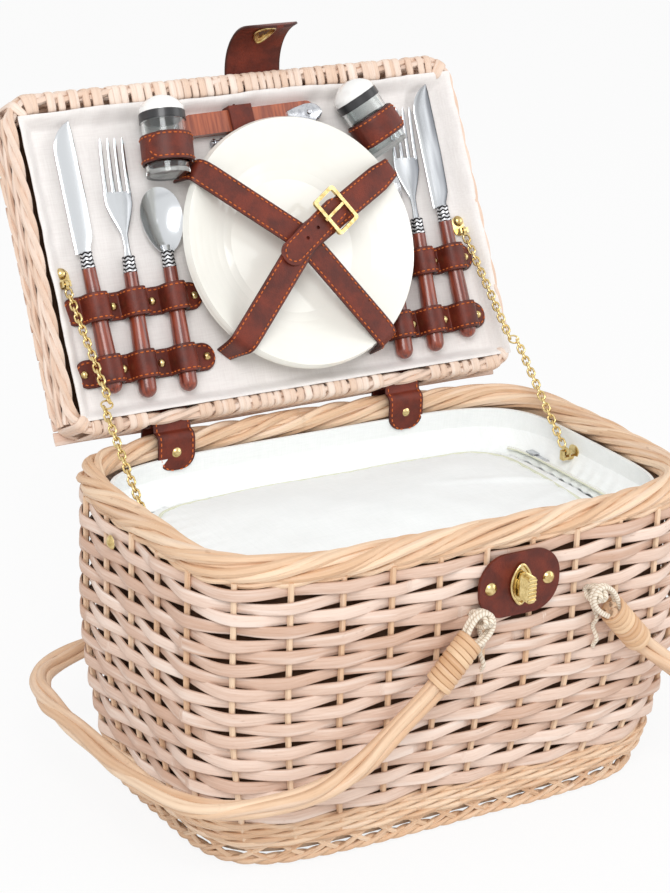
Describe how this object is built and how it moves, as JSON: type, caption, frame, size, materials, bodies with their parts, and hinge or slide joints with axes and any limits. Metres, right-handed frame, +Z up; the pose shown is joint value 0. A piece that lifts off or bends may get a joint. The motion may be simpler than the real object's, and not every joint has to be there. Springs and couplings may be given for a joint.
{
  "type": "picnic basket",
  "caption": "Wicker picnic basket with a hinged lid that carries plates and cutlery, a cooler bag with a padded flap, bow handles and a turn-lock closure.",
  "frame": {"origin": "middle of the body's footprint, on the surface it stands on", "axes": "+X along the basket, the front faces -Y, +Z up"},
  "size_m": [0.5796, 0.4327, 0.5524],
  "materials": {
    "split_willow": "matte, whitewashed split willow",
    "willow_rod": "satin, peeled willow rod",
    "cane_wrap": "satin flat cane",
    "cord": "matte twisted cord",
    "leather": "satin, dark edges, orange stitching",
    "brass": "polished",
    "bag_fabric": "matte padded cloth",
    "lining_cloth": "matte woven cloth",
    "zip_metal": "polished",
    "steel": "polished stainless steel",
    "grip_wood": "glossy lacquered hardwood",
    "ceramic": "gloss glaze",
    "shaker_glass": "clear",
    "white_gloss": "gloss",
    "black_trim": "gloss"
  },
  "bodies": {
    "basket": {"base_mat": "willow_rod", "foot_border": "willow_rod", "waling_band": "willow_rod", "stakes": "willow_rod", "wall_weave": "split_willow", "rim_border": "willow_rod", "cooler_lining": "bag_fabric", "cooler_collar": "bag_fabric", "zip_tape": "bag_fabric", "zip_slider": "zip_metal", "latch_plate": "leather", "latch_rivets": "brass", "turn_lock_rosette": "brass", "chain_studs": "brass", "wall_chain_eyes": "brass", "handle_pivots": "cord", "hinge_straps": "leather", "hinge_strap_rivets": "brass"},
    "cooler_flap": {"cooler_flap": "bag_fabric"},
    "turn_lock": {"turn_lock_knob": "brass"},
    "left_handle": {"left_handle_bow": "willow_rod", "left_handle_bindings": "cane_wrap", "left_handle_eyes": "cord"},
    "right_handle": {"right_handle_bow": "willow_rod", "right_handle_bindings": "cane_wrap", "right_handle_eyes": "cord"},
    "lid": {"lid_frame": "split_willow", "lid_top_weave": "split_willow", "lid_lining_board": "lining_cloth", "lid_hinge_rods": "willow_rod", "lid_chain_clips": "brass", "back_plate": "ceramic", "front_plate": "ceramic", "plate_strap_under": "leather", "plate_strap_over": "leather", "strap_tongue": "leather", "strap_buckle": "brass", "left_knife": "steel", "left_fork": "steel", "left_spoon": "steel", "right_knife": "steel", "right_fork": "steel", "right_spoon": "steel", "left_cutlery_straps": "leather", "right_cutlery_straps": "leather", "cutlery_rivets": "brass", "left_shaker": "shaker_glass", "right_shaker": "shaker_glass", "shaker_caps": "white_gloss", "shaker_bands": "black_trim", "shaker_loops": "leather", "corkscrew_body": "grip_wood", "corkscrew_worm": "steel", "corkscrew_strap": "leather"},
    "closure_tab": {"closure_tab": "leather", "closure_eyelet": "brass"},
    "left_chain_upper": {"left_chain_upper": "brass"},
    "right_chain_upper": {"right_chain_upper": "brass"},
    "left_chain_lower": {"left_chain_lower": "brass"},
    "right_chain_lower": {"right_chain_lower": "brass"}
  },
  "joints": [
    {"name": "lid_hinge", "type": "hinge", "parent": "basket", "child": "lid", "pos_m": [0, 0.12925, 0.2595], "axis": [-1, 0, 0], "range_deg": [-117.4, 0]},
    {"name": "left_handle_pivot", "type": "hinge", "parent": "basket", "child": "left_handle", "pos_m": [-0.01, 0, 0.18], "axis": [0, 1, 0], "range_deg": [0, 42]},
    {"name": "right_handle_pivot", "type": "hinge", "parent": "basket", "child": "right_handle", "pos_m": [0.09, 0, 0.18], "axis": [0, -1, 0], "range_deg": [0, 42]},
    {"name": "turn_lock_spin", "type": "hinge", "parent": "basket", "child": "turn_lock", "pos_m": [0.025, -0.1429, 0.198], "axis": [0, 1, 0], "range_deg": [0, 90]},
    {"name": "cooler_flap_hinge", "type": "hinge", "parent": "basket", "child": "cooler_flap", "pos_m": [0, 0.102, 0.202], "axis": [-1, 0, 0], "range_deg": [0, 80]},
    {"name": "closure_tab_flex", "type": "hinge", "parent": "lid", "child": "closure_tab", "pos_m": [0.025, 0.25413, 0.4852], "axis": [1, 0, 0], "range_deg": [0, 14]},
    {"name": "left_chain_top", "type": "hinge", "parent": "lid", "child": "left_chain_upper", "pos_m": [-0.1786, 0.17242, 0.36018], "axis": [1, 0, 0], "range_deg": [-145.2, 0]},
    {"name": "left_chain_foot", "type": "hinge", "parent": "basket", "child": "left_chain_lower", "pos_m": [-0.1843, 0.024, 0.217], "axis": [-1, 0, 0], "range_deg": [-133.1, 0]},
    {"name": "right_chain_top", "type": "hinge", "parent": "lid", "child": "right_chain_upper", "pos_m": [0.1786, 0.17242, 0.36018], "axis": [1, 0, 0], "range_deg": [-145.2, 0]},
    {"name": "right_chain_foot", "type": "hinge", "parent": "basket", "child": "right_chain_lower", "pos_m": [0.1843, 0.024, 0.217], "axis": [-1, 0, 0], "range_deg": [-133.1, 0]}
  ],
  "couplings": [
    {"joint": "left_chain_top", "follows": "lid_hinge", "ratio": 1.2356},
    {"joint": "left_chain_foot", "follows": "lid_hinge", "ratio": 1.1324},
    {"joint": "right_chain_top", "follows": "lid_hinge", "ratio": 1.2356},
    {"joint": "right_chain_foot", "follows": "lid_hinge", "ratio": 1.1324}
  ]
}
